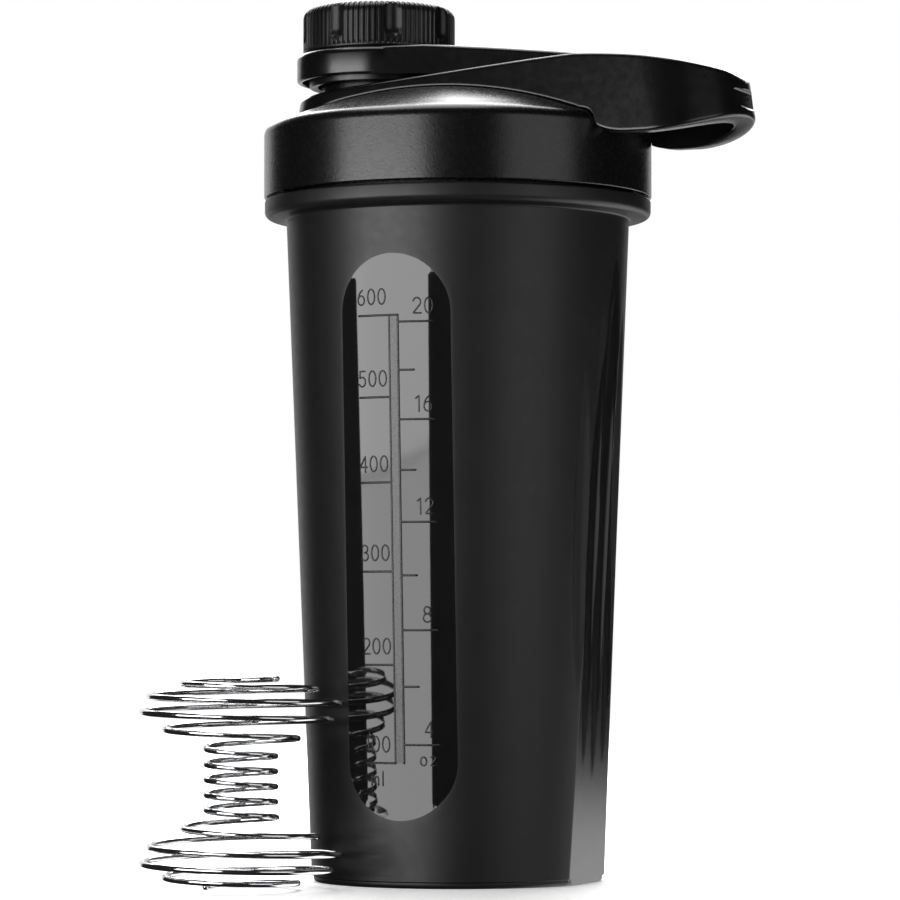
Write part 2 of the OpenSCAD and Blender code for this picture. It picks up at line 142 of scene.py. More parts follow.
# Cap arm and its ring
RING_TOP = arm_hi.z
RING_Z = RING_TOP - 7.1
RING_R = arm_hi.y
RING_IN = RING_R - 2.9
RING_SKIN = 1.4
ARM_T = 2.2
ARM_SIDE = 1.9
ARM_HALF = RING_R - 3.8 - 0.4
HINGE_X = (pin_lo.x + pin_hi.x) / 2
HINGE_Z = (pin_lo.z + pin_hi.z) / 2
BARREL_R = arm_hi.x - HINGE_X
PIN_R = (pin_hi.x - pin_lo.x) / 2

# Spout cap
CAP_R = cap_hi.y
CAP_TOP = cap_hi.z
CAP_Z = RING_TOP + 0.2
CAP_EDGE = 2.6
SKIRT_Z = cap_lo.z
SKIRT_R = RING_IN - 0.3
CAP_ROOT = SKIRT_R - 2
CAP_CEILING = seal_hi.z
RIBS = 84
RIB_D = 0.5
SCOOPS = 8
SCOOP_D = 1.1
SCOOP_W = 4.8
SCOOP_FOOT = CAP_Z + 2.1
SCOOP_START = -56.3

# Carry loop
LOOP_REACH = loop_hi.x
LOOP_HALF = loop_hi.y
RAIL_T = 3.8
TIP_T = 5.0
LOOP_BEND = LOOP_REACH - 21
LOOP_IN_BEND = LOOP_BEND - 6
PLATE_Z = DOME_TOP - 2.6
CREST_X = HINGE_X - 3
CREST_Z = loop_hi.z
FALL_X = LOOP_REACH - 3.6
FALL_Z = DOME_TOP + 0.4
ROOT_LOW = COLLAR_Z + 12.4
TIP_LOW = ROOT_LOW + 5.4
SLOT_Z = TIP_LOW + 1.8
SLOT_W, SLOT_H, SLOT_D = 19.0, 4.2, 1.9
LEAN = math.tan(math.radians(9))  # inward lean of the loop's and the arm's sides
LEAN_Z = TIP_LOW + 2
SEAT_GAP = 0.05

# Whisk
WHISK_X, WHISK_Y = -34.0, -55.0
WHISK_H = whisk_hi.z
WIRE_D = 1.5
CAGE_R = 24.0
WAIST_R = 8.4
CAGE_TURNS = 4.5
WAIST_TURNS = 4.5
WHISK_START = 202.0
CAGE_SHARE = 0.335
COIL_CROWD = 1.3


# ---------- profiles

def arc(x, z, r, a0, a1, n=8):
    """Points of an arc about (x, z), from angle a0 to a1."""
    a = np.radians(np.linspace(a0, a1, n + 1))
    return list(zip(x + r * np.cos(a), z + r * np.sin(a)))


def bend(a, b, c, n=24):
    """Points of a curve from a to c that leaves and arrives towards b."""
    a, b, c = (np.array(p, float) for p in (a, b, c))
    t = np.linspace(0, 1, n + 1)[:, None]
    return [tuple(p) for p in (1 - t) ** 2 * a + 2 * t * (1 - t) * b + t ** 2 * c]


def refine(points, step):
    """The same line with points no further apart than step."""
    out = [points[0]]
    for p, q in zip(points, points[1:]):
        n = max(1, math.ceil(math.dist(p, q) / step))
        out += [tuple(np.array(p) + (np.array(q) - p) * i / n) for i in range(1, n + 1)]
    return out


def round_angles(count):
    return np.arange(count) * 360 / count


def soft_min(a, b, k):
    """The lower of a and b, rounded over about k where they cross."""
    h = np.clip(0.5 + (b - a) / (2 * k), 0, 1)
    return b * (1 - h) + a * h - k * h * (1 - h)


def wrap(angle):
    return (angle + 180) % 360 - 180


# ---------- meshes

def revolve(profile, angles, shape=None):
    """Grid of a profile turned about Z. shape(r, z, angle) gives each point's radius."""
    r, z = (np.array(v, float)[:, None] for v in zip(*profile))
    a = np.asarray(angles, float)[None, :]
    if shape:
        r = shape(r + 0 * a, z + 0 * a, a + 0 * r)
    return np.stack([r * np.cos(np.radians(a)), r * np.sin(np.radians(a)), z + 0 * a], -1)


def solid(name, grid, ring=False, ends=False):
    """A closed mesh over a grid whose columns go round. Its rows go round too if it is a ring, and
    otherwise they run from point to point, or from one flat end to the other."""
    rows, cols = grid.shape[:2]
    index = np.arange(rows * cols).reshape(rows, cols)
    if not ring and not ends:
        index[0] = index[0, 0]
        index[-1] = index[-1, 0]
    if ring:
        index = np.vstack([index, index[:1]])
    index = np.hstack([index, index[:, :1]])
    quads = np.stack([index[:-1, :-1], index[:-1, 1:], index[1:, 1:], index[1:, :-1]], -1).reshape(-1, 4)
    faces = [list(dict.fromkeys(q)) for q in quads.tolist()]
    if ends:
        faces += [index[0, :-1][::-1].tolist(), index[-1, :-1].tolist()]
    mesh = bpy.data.meshes.new(name)
    mesh.from_pydata((grid.reshape(-1, 3) * MM).tolist(), [], [f for f in faces if len(f) > 2])
    work = bmesh.new()
    work.from_mesh(mesh)
    bmesh.ops.delete(work, geom=[v for v in work.verts if not v.link_faces], context="VERTS")
    bmesh.ops.recalc_face_normals(work, faces=work.faces)
    work.to_mesh(mesh)
    work.free()
    piece = bpy.data.objects.new(name, mesh)
    bpy.context.scene.collection.objects.link(piece)
    return piece


def boolean(piece, tool, operation="DIFFERENCE"):
    """Cuts the tool from the piece, or joins it on. The tool is used up."""
    modifier = piece.modifiers.new("boolean", "BOOLEAN")
    modifier.solver = "EXACT"
    modifier.operation = operation
    modifier.object = tool
    bpy.context.view_layer.objects.active = piece
    bpy.ops.object.modifier_apply(modifier=modifier.name)
    bpy.data.objects.remove(tool)


def join(name, pieces):
    """One piece out of several."""
    with bpy.context.temp_override(active_object=pieces[0], selected_editable_objects=pieces):
        bpy.ops.object.join()
    pieces[0].name = name
    return pieces[0]


def tube(path, radius, sides, up):
    """Grid of a round wire along a path, with round ends. up is never along the path."""
    path = np.asarray(path, float)
    along = np.gradient(path, axis=0)
    along /= np.linalg.norm(along, axis=1)[:, None]
    dome = np.radians([0, 30, 60])
    centre = np.concatenate([path[:1] - along[:1] * radius * np.cos(dome)[:, None], path,
                             path[-1:] + along[-1:] * radius * np.cos(dome)[::-1, None]])
    size = np.concatenate([np.sin(dome), np.ones(len(path)), np.sin(dome)[::-1]]) * radius
    along = np.concatenate([along[:1].repeat(3, 0), along, along[-1:].repeat(3, 0)])
    side = np.cross(along, up)
    side /= np.linalg.norm(side, axis=1)[:, None]
    rise = np.cross(side, along)
    a = np.radians(round_angles(sides))[None, :, None]
    around = side[:, None] * np.cos(a) + rise[:, None] * np.sin(a)
    return centre[:, None] + around * size[:, None, None]


def cylinder(name, r, z0, z1, sides=96):
    return solid(name, revolve([(0, z0), (r, z0), (r, z1), (0, z1)], round_angles(sides)))


def thread(z, angle, start, pitch, turns, foot, crest, start_z):
    """Height of a helical ridge, from 0 at its foot to 1 at its crest."""
    height = np.zeros_like(z)
    for k in range(math.ceil(turns) + 1):
        along = (angle - start) % 360 + 360 * k
        off = np.abs(z - start_z - pitch * along / 360)
        side = np.clip((foot / 2 - off) / ((foot - crest) / 2), 0, 1)
        end = np.clip(np.minimum(along, 360 * turns - along) / 30, 0, 1)
        height = np.maximum(height, side * end)
    return height * height * (3 - 2 * height)


# ---------- materials

class Shader:
    """A Principled material with the few node shapes that the plastics and the steel share."""

    def __init__(self, name, **sockets):
        self.material = bpy.data.materials.new(name)
        self.material.use_nodes = True
        self.nodes = self.material.node_tree.nodes
        self.links = self.material.node_tree.links
        self.skin = self.nodes["Principled BSDF"]
        for socket, value in sockets.items():
            self.skin.inputs[socket.replace("_", " ")].default_value = value
        self.place = self.nodes.new("ShaderNodeTexCoord").outputs["Object"]

    def noise(self, size, detail=2.0, roughness=0.5):
        """Noise whose lumps are about size millimetres across."""
        node = self.nodes.new("ShaderNodeTexNoise")
        node.inputs["Scale"].default_value = 1 / (size * MM)
        node.inputs["Detail"].default_value = detail
        node.inputs["Roughness"].default_value = roughness
        self.links.new(self.place, node.inputs["Vector"])
        return node.outputs["Fac"]

    def cells(self, size):
        """Rounded cells about size millimetres across, highest in their middle."""
        node = self.nodes.new("ShaderNodeTexVoronoi")
        node.feature = "SMOOTH_F1"
        node.inputs["Scale"].default_value = 1 / (size * MM)
        node.inputs["Smoothness"].default_value = 0.6
        self.links.new(self.place, node.inputs["Vector"])
        return self.ranged(node.outputs["Distance"], 0, 0.8, 1, 0)

    def ranged(self, value, low, high, out_low, out_high, soft=False):
        node = self.nodes.new("ShaderNodeMapRange")
        node.interpolation_type = "SMOOTHSTEP" if soft else "LINEAR"
        ends = {"From Min": low, "From Max": high, "To Min": out_low, "To Max": out_high}
        for socket, number in ends.items():
            node.inputs[socket].default_value = number
        self.links.new(value, node.inputs["Value"])
        return node.outputs["Result"]

    def math(self, operation, a, b=None):
        node = self.nodes.new("ShaderNodeMath")
        node.operation = operation
        for socket, value in zip(node.inputs, (a, b)):
            if isinstance(value, (int, float)):
                socket.default_value = value
            elif value is not None:
                self.links.new(value, socket)
        return node.outputs["Value"]

    def axes(self):
        node = self.nodes.new("ShaderNodeSeparateXYZ")
        self.links.new(self.place, node.inputs["Vector"])
        return node.outputs

    def tint(self, value, dark, light):
        """Colour between dark and light."""
        node = self.nodes.new("ShaderNodeValToRGB")
        node.color_ramp.elements[0].color = (*dark, 1)
        node.color_ramp.elements[1].color = (*light, 1)
        node.color_ramp.elements[0].position = 0.3
        node.color_ramp.elements[1].position = 0.7
        self.links.new(value, node.inputs["Fac"])
        self.links.new(node.outputs["Color"], self.skin.inputs["Base Color"])

    def rough(self, value):
        self.links.new(value, self.skin.inputs["Roughness"])

    def bump(self, height, depth, strength=1.0):
        """Relief of depth millimetres. Several stack, each over the last."""
        node = self.nodes.new("ShaderNodeBump")
        node.inputs["Distance"].default_value = depth * MM
        if isinstance(strength, float):
            node.inputs["Strength"].default_value = strength
        else:
            self.links.new(strength, node.inputs["Strength"])
        self.links.new(height, node.inputs["Height"])
        normal = self.skin.inputs["Normal"]
        if normal.is_linked:
            self.links.new(normal.links[0].from_socket, node.inputs["Normal"])
        self.links.new(node.outputs["Normal"], normal)


def cup_plastic():
    """Fine spark-eroded matt, polished in the window and half polished on the grips."""
    s = Shader("cup_plastic", IOR=1.5)
    x, y, z = s.axes()[:3]
    r = WINDOW_W / 2 * MM
    middle = (WINDOW_Z + WINDOW_TOP) / 2 * MM
    straight = (WINDOW_TOP - WINDOW_Z) / 2 * MM - r
    away = s.math("ABSOLUTE", s.math("SUBTRACT", z, middle))
    past = s.math("MAXIMUM", s.math("SUBTRACT", away, straight), 0.0)
    span = s.math("SQRT", s.math("ADD", s.math("MULTIPLY", x, x), s.math("MULTIPLY", past, past)))
    matt_end = s.ranged(s.math("SUBTRACT", span, r), -0.3 * MM, -0.1 * MM, 0, 1, soft=True)
    matt = s.math("MAXIMUM", matt_end, s.ranged(y, -CUP_R * 0.6 * MM, -CUP_R * 0.5 * MM, 0, 1))
    # a grip's flat meets the round wall at half a chord from the middle
    wall = s.math("ADD", s.math("MULTIPLY", z, DRAFT), CUP_R * MM)
    flat = s.math("ADD", s.math("MULTIPLY", z, GRIP_SLOPE), GRIP_X * MM)
    chord = s.math("SUBTRACT", s.math("MULTIPLY", wall, wall), s.math("MULTIPLY", flat, flat))
    inside = s.math("SUBTRACT", s.math("SQRT", s.math("MAXIMUM", chord, 0.0)), s.math("ABSOLUTE", y))
    matt = s.math("MULTIPLY", matt, s.ranged(inside, 0, 0.4 * MM, 1, 0.4, soft=True))
    s.tint(s.noise(9, 3), (0.0042, 0.0042, 0.0045), (0.0055, 0.0055, 0.0058))
    grain = s.ranged(s.noise(2.5, 4), 0.3, 0.7, 0.37, 0.42)
    s.rough(s.math("ADD", 0.045, s.math("MULTIPLY", matt, grain)))
    s.bump(s.noise(0.3, 3, 0.6), 0.022, matt)
    s.bump(s.noise(7, 1), 0.012, 0.5)
    return s.material


def mark_plastic():
    """The raised scale: the cup's plastic, a little duller than the window."""
    s = Shader("mark_plastic", IOR=1.5)
    s.tint(s.noise(3, 2), (0.007, 0.007, 0.0075), (0.009, 0.009, 0.0095))
    s.rough(s.ranged(s.noise(0.6, 3), 0.3, 0.7, 0.2, 0.3))
    s.bump(s.noise(0.25, 2), 0.006)
    return s.material


def lid_plastic():
    """Pebbled collar under a smoother dome."""
    s = Shader("lid_plastic", IOR=1.5)
    z = s.axes()[2]
    pebbled = s.ranged(z, (SHOULDER_Z - 1.8) * MM, (SHOULDER_Z - 2.6) * MM, 0.12, 1, soft=True)
    s.tint(s.noise(11, 3), (0.0016, 0.0016, 0.0018), (0.0022, 0.0022, 0.0024))
    s.rough(s.ranged(s.noise(1.6, 4), 0.3, 0.7, 0.25, 0.29))
    s.bump(s.cells(0.5), 0.012, pebbled)
    s.bump(s.noise(0.3, 2), 0.006, 0.6)
    return s.material


def satin_plastic(name, dark, light, rough_low, rough_high):
    """Smooth moulded plastic with a faint grain and a faint waviness."""
    s = Shader(name, IOR=1.5)
    s.tint(s.noise(8, 3), dark, light)
    s.rough(s.ranged(s.noise(2, 4), 0.3, 0.7, rough_low, rough_high))
    s.bump(s.noise(0.35, 3, 0.6), 0.012)
    s.bump(s.noise(6, 1), 0.01, 0.5)
    return s.material


def silicone():
    """Soft pale rubber of the gasket and the cap's seal."""
    s = Shader("silicone", IOR=1.43, Subsurface_Weight=0.25, Subsurface_Scale=0.002)
    s.tint(s.noise(5, 2), (0.55, 0.55, 0.53), (0.62, 0.62, 0.6))
    s.rough(s.ranged(s.noise(0.8, 3), 0.3, 0.7, 0.42, 0.55))
    s.bump(s.noise(0.3, 2), 0.008)
    return s.material


def steel():
    """Bright drawn wire with faint die marks."""
    s = Shader("steel", Metallic=1.0)
    s.tint(s.noise(3, 3), (0.62, 0.62, 0.63), (0.72, 0.72, 0.73))
    s.rough(s.ranged(s.noise(0.5, 4, 0.7), 0.3, 0.7, 0.07, 0.16))
    s.bump(s.noise(0.18, 3, 0.7), 0.004)
    return s.material


PLASTIC = dict(
    handle=satin_plastic("handle_plastic", (0.0022, 0.0022, 0.0025), (0.003, 0.003, 0.0033), 0.2, 0.25),
    cap=satin_plastic("cap_plastic", (0.0018, 0.0018, 0.002), (0.0025, 0.0025, 0.0028), 0.3, 0.38),
    arm=satin_plastic("arm_plastic", (0.0018, 0.0018, 0.002), (0.0025, 0.0025, 0.0028), 0.21, 0.26),
)
LOOK = dict(cup=cup_plastic(), mark=mark_plastic(), lid=lid_plastic(), silicone=silicone(), steel=steel())


def finish_piece(piece, material, body, nodes=(), sharp=40):
    """Gives a piece its look and its body, and hides the CAD nodes that it stands for."""
    mesh = piece.data
    mesh.materials.clear()
    mesh.materials.append(material)
    mesh.polygons.foreach_set("use_smooth", [True] * len(mesh.polygons))
    mesh.set_sharp_from_angle(angle=math.radians(sharp))
    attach(piece, body)
    if nodes:
        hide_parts(*nodes)


# ---------- cup

def wall_at(angle, z):
    """Radius of the cup's outside before its grooves: the cone, or the flat of the nearer grip."""
    off = np.minimum(np.abs(wrap(angle)), np.abs(wrap(angle - 180)))
    flat = (GRIP_X + GRIP_SLOPE * z) / np.cos(np.radians(np.minimum(off, 60)))
    return soft_min(CUP_R + DRAFT * z, flat, 0.12)


def groove_at(angle, z):
    """Radius of the nearest groove's bed, measured along each point's own ray."""
    bed = np.full(np.broadcast(angle, z).shape, FAR)
    for face in (0, 180):
        for i in range(-GROOVE_SIDE, GROOVE_SIDE + 1):
            length = GROOVE_L * math.sqrt(1 - (i / GROOVE_FALL) ** 2)
            depth = GROOVE_D * (1 - GROOVE_SHOAL * i * i)
            sink = depth * (1 - ((z - GROOVE_Z) / (length / 2)) ** 2)
            turn = wrap(angle - face - i * GROOVE_STEP)
            turn_rad = np.radians(np.clip(turn, -60, 60))
            centre = wall_at(i * GROOVE_STEP, z) - sink + GROOVE_TUBE
            across = GROOVE_TUBE ** 2 - (centre * np.sin(turn_rad)) ** 2
            hit = centre * np.cos(turn_rad) - np.sqrt(np.maximum(across, 0))
            hit = np.where((across > 0) & (np.abs(turn) < 60), hit, FAR)
            bed = soft_min(bed, hit, GROOVE_EDGE)
    return bed


def cup_outside(r, z, angle):
    """The profile cut by the flats and grooves, and sunk a little in the window."""
    shaped = np.where(z < FLANGE_Z, np.minimum(r, wall_at(angle, z)), r)
    shaped = np.where(z < GRIP_TOP, soft_min(shaped, groove_at(angle, z), 0.1), shaped)
    half = WINDOW_W / 2
    x = r * np.cos(np.radians(angle))
    past = np.maximum(np.abs(z - (WINDOW_Z + WINDOW_TOP) / 2) - (WINDOW_TOP - WINDOW_Z) / 2 + half, 0)
    inside = np.clip((half - np.hypot(x, past)) / 0.45, 0, 1)
    front = np.abs(wrap(angle - WINDOW_FACE)) < 60
    return shaped - np.where(front, WINDOW_DEPTH * inside * inside * (3 - 2 * inside), 0)


def cup_inside(r, z, angle):
    off = np.minimum(np.abs(wrap(angle)), np.abs(wrap(angle - 180)))
    lean = (CUP_R + DRAFT * GRIP_TOP - WALL - GRIP_X + GRIP_WALL) / GRIP_TOP
    flat = (GRIP_X - GRIP_WALL + lean * z) / np.cos(np.radians(np.minimum(off, 60)))
    return np.where(z < GRIP_TOP, np.minimum(r, flat), r)


def cup_angles():
    """Angles of the columns: close in the grips and closest at their ridges, fair in the window."""
    fine = np.arange(-54, 55) * GROOVE_STEP / 20
    ridges = [side * (k + 0.5) * GROOVE_STEP + d
              for side in (-1, 1) for k in (0, 1) for d in (-0.3, -0.15, 0.15, 0.3)]
    grip = np.concatenate([fine, ridges])
    window = np.linspace(-27, 27, 90) + WINDOW_FACE
    plain = np.arange(0, 360, 2.4)
    clear = [a for a in plain
             if min(abs(wrap(a)), abs(wrap(a - 180))) > 26 and abs(wrap(a - WINDOW_FACE)) > 28]
    return np.unique(np.round(np.concatenate([grip, grip + 180, window, clear]) % 360, 5))


def make_cup():
    angles = cup_angles()
    wall_r = CUP_R + DRAFT * FLANGE_Z
    under = refine([(0, FOOT_H), (FOOT_IN - 0.4, FOOT_H)], 6) \
        + arc(FOOT_IN - 0.4, FOOT_H - 0.4, 0.4, 90, 0, 3) \
        + arc(FOOT_IN + 0.4, 0.4, 0.4, 180, 270, 3)
    foot = arc(CUP_R - 1.4, 1, 1, -90, 0, 6) \
        + [(CUP_R - 0.4, FOOT_H), (CUP_R + DRAFT * 1.7, FOOT_H + 0.3)]
    wall = refine([(CUP_R + DRAFT * 1.8, 1.8), (wall_r, FLANGE_Z)], 0.95)
    flange = arc(wall_r + 0.6, FLANGE_Z - 0.35, 0.6, 180, 100, 3) \
        + arc(FLANGE_R - 1.6, FLANGE_Z + 2.1, 1.6, -90, 0, 8) \
        + arc(FLANGE_R - 0.6, FLANGE_TOP - 0.6, 0.6, 0, 90, 6)
    outside = under + foot + wall[:-1] + flange
    neck = refine([(NECK_R, FLANGE_TOP), (NECK_R, RIM_Z - 0.6)], 0.28) \
        + arc(NECK_R - 0.6, RIM_Z - 0.6, 0.6, 15, 90, 5)
    cavity = CUP_R - WALL + DRAFT * RIM_Z
    inside = arc(cavity + 0.5, RIM_Z - 0.5, 0.5, 90, 180, 4) \
        + refine([(cavity, RIM_Z - 0.6), (CUP_R - WALL + DRAFT * (FLOOR_Z + 3), FLOOR_Z + 3)], 4) \
        + arc(CUP_R - WALL - 2.8, FLOOR_Z + 3, 3, 0, -90, 6) + refine([(30, FLOOR_Z), (0, FLOOR_Z)], 6)
    ridge = lambda r, z, a: r + np.where(r > NECK_R - 0.1, LID_RIDGE * thread(z, a, 0, **LID_THREAD), 0)
    grid = np.concatenate([revolve(outside, angles, cup_outside), revolve(neck, angles, ridge),
                           revolve(inside, angles, cup_inside)])
    finish_piece(solid("cup_shell", grid), LOOK["cup"], "cup", ["cup"], 50)


# ---------- scale marks on the window: the volume of a cone gives the height of each fill

ML = 1000.0
FLUID_OUNCE = 29573.5
GAUGE_R3 = 35.13 ** 3
GAUGE_RATE = 0.0381972  # three times the taper over pi
GAUGE_R0 = 34.92
MARK_R = 0.27
NUMERAL_H = 3.9
NUMERAL_PITCH = 0.74


def fill_height(volume):
    """Height of the surface of that many cubic millimetres in the tapered cup."""
    return ((GAUGE_R3 + GAUGE_RATE * volume) ** (1 / 3) - GAUGE_R0) / DRAFT


def on_window(u, z, lift=0.0):
    """The point u millimetres round from the window's middle, at height z."""
    r = CUP_R + DRAFT * z - WINDOW_DEPTH
    a = math.radians(WINDOW_FACE) + u / r
    return ((r + lift) * math.cos(a), (r + lift) * math.sin(a), z)


def bead(points, radius=MARK_R, lift=0.0):
    """A raised line through points (u, z) on the window."""
    path = [on_window(u, z, lift) for u, z in refine(points, 0.5)]
    return solid("bead", tube(path, radius, 10, (0.17, 1, 0.1)))


def oval(x, y, rx, ry, a0=0, a1=360, n=14):
    a = np.radians(np.linspace(a0, a1, n + 1))
    return list(zip(x + rx * np.cos(a), y + ry * np.sin(a)))


STROKES = {
    "0": [oval(0.3, 0.5, 0.25, 0.48)],
    "1": [[(0.14, 0.8), (0.34, 0.98), (0.34, 0)]],
    "2": [oval(0.3, 0.71, 0.24, 0.27, 165, -40, 8) + [(0.05, 0.02), (0.56, 0.02)]],
    "3": [oval(0.28, 0.74, 0.22, 0.24, 160, -90, 9), oval(0.28, 0.27, 0.25, 0.25, 90, -160, 9)],
    "4": [[(0.43, 0), (0.43, 0.98), (0.05, 0.3), (0.58, 0.3)]],
    "5": [[(0.5, 0.97), (0.13, 0.97), (0.1, 0.54)] + oval(0.28, 0.31, 0.25, 0.3, 130, -150, 10)],
    "6": [oval(0.3, 0.3, 0.24, 0.29), oval(0.6, 0.32, 0.53, 0.66, 175, 112, 6)],
    "8": [oval(0.3, 0.75, 0.2, 0.22), oval(0.3, 0.27, 0.25, 0.26)],
    "o": [oval(0.27, 0.32, 0.22, 0.31)],
    "z": [[(0.06, 0.62), (0.46, 0.62), (0.05, 0.02), (0.48, 0.02)]],
    "m": [[(0.03, 0), (0.03, 0.63)], oval(0.17, 0.42, 0.14, 0.2, 180, 0, 6) + [(0.31, 0)],
          oval(0.45, 0.42, 0.14, 0.2, 180, 0, 6) + [(0.59, 0)]],
    "l": [[(0.22, 0), (0.22, 0.98)]],
}


def letter_beads(text, u, z, height=NUMERAL_H):
    """Raised figures that start at u and stand on z."""
    beads = []
    for sign in text:
        beads += [bead([(u + x * height, z + y * height) for x, y in stroke], 0.2)
                  for stroke in STROKES[sign]]
        u += NUMERAL_PITCH * height * (1.0 if sign != "1" else 0.8)
    return beads


def make_scale():
    bar_left, bar_right = -0.8, 1.45
    low, high = fill_height(100 * ML), fill_height(600 * ML)
    beads = [bead([(bar_left, low), (bar_left, high)]), bead([(bar_right, low), (bar_right, high)]),
             bead([(bar_left, high), (bar_right, high)])]
    for amount in range(100, 700, 100):
        z = fill_height(amount * ML)
        beads.append(bead([(-9.2, z), (bar_left, z)]))
        beads += letter_beads(str(amount), -9.7, z + 2.6)
    for ounces in range(4, 21, 2):
        z = fill_height(ounces * FLUID_OUNCE)
        long = ounces % 4 == 0
        beads.append(bead([(bar_right, z), (10.3 if long else 5.4, z)]))
        if long:
            beads += letter_beads(str(ounces), 5.2 if ounces > 9 else 6.6, z + 1.9)
    beads += letter_beads("oz", 5.4, fill_height(4 * FLUID_OUNCE) - 5.0, 3.4)
    beads += letter_beads("ml", -7.6, low - 5.4, 3.4)
    band = [(bar_left, -0.2), (bar_left, 0.1), (bar_right, 0.1), (bar_right, -0.2)]
    rows = [[on_window(u, z, lift) for u, lift in band] for z in np.linspace(low, high, 40)]
    beads.append(solid("band", np.array(rows), ends=True))
    finish_piece(join("scale_marks", beads), LOOK["mark"], "cup", sharp=50)


# ---------- lid

def dome_profile():
    """The shoulder and the dome, from the collar to the axis."""
    a = np.radians(DOME_A * (1 - np.arange(1, 25) / 24))
    dome = list(zip(DOME_BALL * np.sin(a), DOME_TOP - DOME_BALL + DOME_BALL * np.cos(a)))
    return arc(DOME_R, SHOULDER_Z - SHOULDER_R, SHOULDER_R, 0, 90 - DOME_A, 10) + dome


def lid_top_at(r):
    """Height of the lid's outside at a distance r from the axis, and far below past its edge."""
    dome = DOME_TOP - DOME_BALL + np.sqrt(DOME_BALL ** 2 - np.minimum(r, DOME_R) ** 2)
    drop = np.maximum(r - DOME_R, 0)
    edge = SHOULDER_Z - SHOULDER_R + np.sqrt(np.maximum(SHOULDER_R ** 2 - drop ** 2, 0))
    return np.where(r < DOME_R - 0.5, dome, np.where(r < LID_R, edge, COLLAR_Z))


def make_lid():
    angles = round_angles(240)
    foot = arc(COLLAR_IN + 0.4, COLLAR_Z + 0.4, 0.4, 180, 270, 3) \
        + arc(LID_R - 0.4, COLLAR_Z + 0.4, 0.4, -90, 0, 5)
    collar = refine([(LID_R, COLLAR_Z + 0.5), (LID_R, SHOULDER_Z - SHOULDER_R - 0.1)], 3)
    outer = [(0, COLLAR_Z)] + foot + collar + dome_profile()
    body = solid("lid_shell", revolve(outer, angles))
    spout = [(0, CEILING_Z), (BOSS_R, CEILING_Z), (BOSS_R, BOSS_TOP - 0.6)] \
        + arc(BOSS_R - 0.6, BOSS_TOP - 0.6, 0.6, 15, 90, 4) + [(SPOUT_R + 0.3, BOSS_TOP)] \
        + refine([(SPOUT_R, BOSS_TOP + 0.3), (SPOUT_R, SPOUT_TOP - 0.7)], 0.25) \
        + arc(SPOUT_R - 0.7, SPOUT_TOP - 0.7, 0.7, 15, 90, 5) + [(0, SPOUT_TOP)]
    on_wall = lambda r, z, a: r + np.where(np.abs(r - SPOUT_R) < 0.05,
                                           SPOUT_RIDGE * thread(z, a, 0, **SPOUT_THREAD), 0)
    spout_grid = revolve(spout, round_angles(120), on_wall) + (SPOUT_X, 0, 0)
    boolean(body, solid("spout", spout_grid), "UNION")
    space = [(0, COLLAR_Z - 1), (COLLAR_IN, COLLAR_Z - 1)] \
        + refine([(COLLAR_IN, COLLAR_Z), (COLLAR_IN, CEILING_Z)], 0.3) + [(SEAT_IN, CEILING_Z)]
    inner_r = (SEAT_IN - 1) * (1 - np.arange(17) / 16)
    space += list(zip(inner_r, DOME_TOP - DOME_BALL + np.sqrt(DOME_BALL ** 2 - inner_r ** 2) - DOME_T))
    in_wall = lambda r, z, a: r - np.where(r > COLLAR_IN - 0.1,
                                           LID_RIDGE * thread(z, a, 180, **LID_THREAD), 0)
    boolean(body, solid("space", revolve(space, angles + 0.7, in_wall)))
    rim = arc(BORE_R + 0.8, SPOUT_TOP - 0.8, 0.8, 180, 90, 5)
    bore = [(0, CEILING_Z - 2), (BORE_R, CEILING_Z - 2)] + rim \
        + [(BORE_R + 0.8, SPOUT_TOP + 2), (0, SPOUT_TOP + 2)]
    boolean(body, solid("bore", revolve(bore, round_angles(120) + 1) + (SPOUT_X, 0, 0)))
    finish_piece(body, LOOK["lid"], "lid", ["lid"], 35)


def make_gasket():
    """A rectangular ring with rounded edges, just clear of the lid's walls."""
    edge = 0.45
    inner, outer = SEAT_IN + 0.15 + edge, COLLAR_IN - 0.15 - edge
    low, high = gasket_lo.z + edge, gasket_hi.z - edge
    outline = arc(outer, low, edge, -90, 0, 4) + arc(outer, high, edge, 0, 90, 4) \
        + arc(inner, high, edge, 90, 180, 4) + arc(inner, low, edge, 180, 270, 4)
    ring = solid("gasket_ring", revolve(outline, round_angles(180)), ring=True)
    finish_piece(ring, LOOK["silicone"], "gasket", ["lid_gasket"])


# ---------- carry loop

LOOP_EDGE = 0.8
CORNER_R = 5.0


def ellipse(x, rx, ry, a0, a1, n):
    a = np.radians(np.linspace(a0, a1, n, endpoint=False))
    return np.c_[x + rx * np.cos(a), ry * np.sin(a)]


def line_x(x0, x1, y, n):
    return np.c_[np.linspace(x0, x1, n, endpoint=False), np.full(n, y)]


